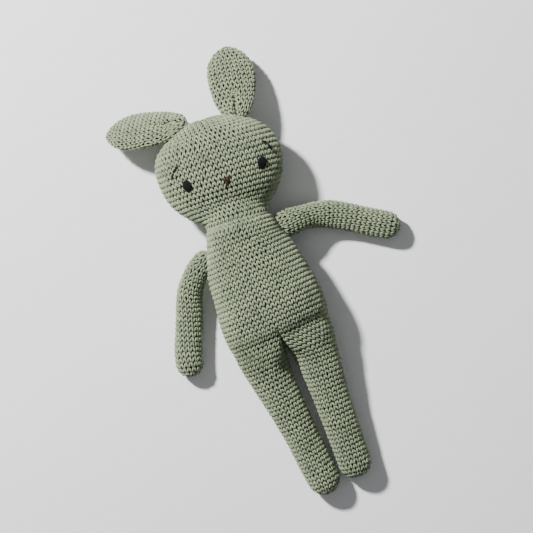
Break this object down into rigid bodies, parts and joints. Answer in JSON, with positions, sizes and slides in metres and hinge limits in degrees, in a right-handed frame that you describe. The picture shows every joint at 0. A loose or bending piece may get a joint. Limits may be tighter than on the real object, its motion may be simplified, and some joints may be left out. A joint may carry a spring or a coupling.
{
  "type": "stuffed bunny rabbit",
  "caption": "Crocheted stuffed rabbit doll lying on its back, with an embroidered face and soft filling. The sewn-on head, arms and floppy ears turn, and the legs bend at the hips.",
  "frame": {"origin": "on the flat of the trunk's back, under the middle of the trunk, at the surface that the doll lies on", "axes": "+Z out of the belly, up from the surface that the doll lies on; +Y along the trunk towards the head; +X to the doll's own left"},
  "size_m": [0.175, 0.2998, 0.0547],
  "materials": {
    "crochet_cotton": "matte knobbly cotton in single crochet, sage green",
    "stuffing": "loose white polyester fibre",
    "sewing_yarn": "matte cotton yarn, a little lighter and browner than the crochet",
    "black_floss": "embroidery floss with a slight sheen",
    "brown_floss": "embroidery floss with a slight sheen, dark brown"
  },
  "bodies": {
    "trunk": {"trunk_cover": "crochet_cotton", "trunk_filling": "stuffing", "neck_seam": "sewing_yarn", "left_arm_seam": "sewing_yarn", "right_arm_seam": "sewing_yarn"},
    "neck_core": {"neck_filling_core": "stuffing"},
    "neck_wrap": {"neck_filling_wrap": "stuffing"},
    "head": {"head_cover": "crochet_cotton", "head_filling": "stuffing", "left_eye": "black_floss", "right_eye": "black_floss", "left_brow_inner_stitch": "black_floss", "left_brow_outer_stitch": "black_floss", "right_brow_inner_stitch": "black_floss", "right_brow_outer_stitch": "black_floss", "nose": "brown_floss", "left_ear_seam": "sewing_yarn", "right_ear_seam": "sewing_yarn"},
    "left_shoulder": {"left_arm_knot": "sewing_yarn"},
    "left_arm": {"left_arm_cover": "crochet_cotton", "left_arm_filling": "stuffing"},
    "left_hip": {"left_hip_filling": "stuffing"},
    "left_leg": {"left_leg_cover": "crochet_cotton", "left_leg_filling": "stuffing"},
    "left_ear_root": {"left_ear_knot": "sewing_yarn"},
    "left_ear": {"left_ear_cover": "crochet_cotton", "left_ear_filling": "stuffing", "left_ear_tuck": "sewing_yarn"},
    "right_shoulder": {"right_arm_knot": "sewing_yarn"},
    "right_arm": {"right_arm_cover": "crochet_cotton", "right_arm_filling": "stuffing"},
    "right_hip": {"right_hip_filling": "stuffing"},
    "right_leg": {"right_leg_cover": "crochet_cotton", "right_leg_filling": "stuffing"},
    "right_ear_root": {"right_ear_knot": "sewing_yarn"},
    "right_ear": {"right_ear_cover": "crochet_cotton", "right_ear_filling": "stuffing", "right_ear_tuck": "sewing_yarn"}
  },
  "joints": [
    {"name": "head_turn", "type": "hinge", "parent": "trunk", "child": "neck_core", "pos_m": [0.0025, 0.045, 0.03], "axis": [0, 1, 0], "range_deg": [-40, 40], "stiffness_Nm_per_rad": 0.06},
    {"name": "head_nod", "type": "hinge", "parent": "neck_core", "child": "neck_wrap", "pos_m": [0.0025, 0.045, 0.03], "axis": [1, 0, 0], "range_deg": [0, 20], "stiffness_Nm_per_rad": 0.06},
    {"name": "head_tilt", "type": "hinge", "parent": "neck_wrap", "child": "head", "pos_m": [0.0025, 0.045, 0.03], "axis": [0, 0, 1], "range_deg": [-15, 15], "stiffness_Nm_per_rad": 0.06},
    {"name": "left_arm_raise", "type": "hinge", "parent": "trunk", "child": "left_shoulder", "pos_m": [0.0313, 0.0294, 0.024], "axis": [0, 0, 1], "range_deg": [-30, 45]},
    {"name": "left_arm_forward", "type": "hinge", "parent": "left_shoulder", "child": "left_arm", "pos_m": [0.0313, 0.0294, 0.024], "axis": [-0.4061, -0.9138, 0], "range_deg": [0, 55]},
    {"name": "right_arm_raise", "type": "hinge", "parent": "trunk", "child": "right_shoulder", "pos_m": [-0.031, 0.0294, 0.024], "axis": [0, 0, -1], "range_deg": [-5, 75]},
    {"name": "right_arm_forward", "type": "hinge", "parent": "right_shoulder", "child": "right_arm", "pos_m": [-0.031, 0.0294, 0.024], "axis": [-0.8617, 0.5074, 0], "range_deg": [0, 55]},
    {"name": "left_leg_spread", "type": "hinge", "parent": "trunk", "child": "left_hip", "pos_m": [0.0155, -0.044, 0.02], "axis": [0, 0, 1], "range_deg": [0, 20], "stiffness_Nm_per_rad": 0.02},
    {"name": "left_leg_bend", "type": "hinge", "parent": "left_hip", "child": "left_leg", "pos_m": [0.0155, -0.044, 0.02], "axis": [-1, 0, 0], "range_deg": [0, 85], "stiffness_Nm_per_rad": 0.02},
    {"name": "right_leg_spread", "type": "hinge", "parent": "trunk", "child": "right_hip", "pos_m": [-0.0195, -0.044, 0.02], "axis": [0, 0, -1], "range_deg": [0, 20], "stiffness_Nm_per_rad": 0.02},
    {"name": "right_leg_bend", "type": "hinge", "parent": "right_hip", "child": "right_leg", "pos_m": [-0.0195, -0.044, 0.02], "axis": [-1, 0, 0], "range_deg": [0, 85], "stiffness_Nm_per_rad": 0.02},
    {"name": "left_ear_flop", "type": "hinge", "parent": "head", "child": "left_ear_root", "pos_m": [0.0315, 0.1126, 0.027], "axis": [0, 0, -1], "range_deg": [-15, 50]},
    {"name": "left_ear_fold", "type": "hinge", "parent": "left_ear_root", "child": "left_ear", "pos_m": [0.0315, 0.1126, 0.027], "axis": [0.9661, -0.2583, 0], "range_deg": [0, 35]},
    {"name": "right_ear_flop", "type": "hinge", "parent": "head", "child": "right_ear_root", "pos_m": [-0.0095, 0.1192, 0.027], "axis": [0, 0, -1], "range_deg": [0, 60]},
    {"name": "right_ear_fold", "type": "hinge", "parent": "right_ear_root", "child": "right_ear", "pos_m": [-0.0095, 0.1192, 0.027], "axis": [0.2675, 0.9636, 0], "range_deg": [0, 35]}
  ]
}
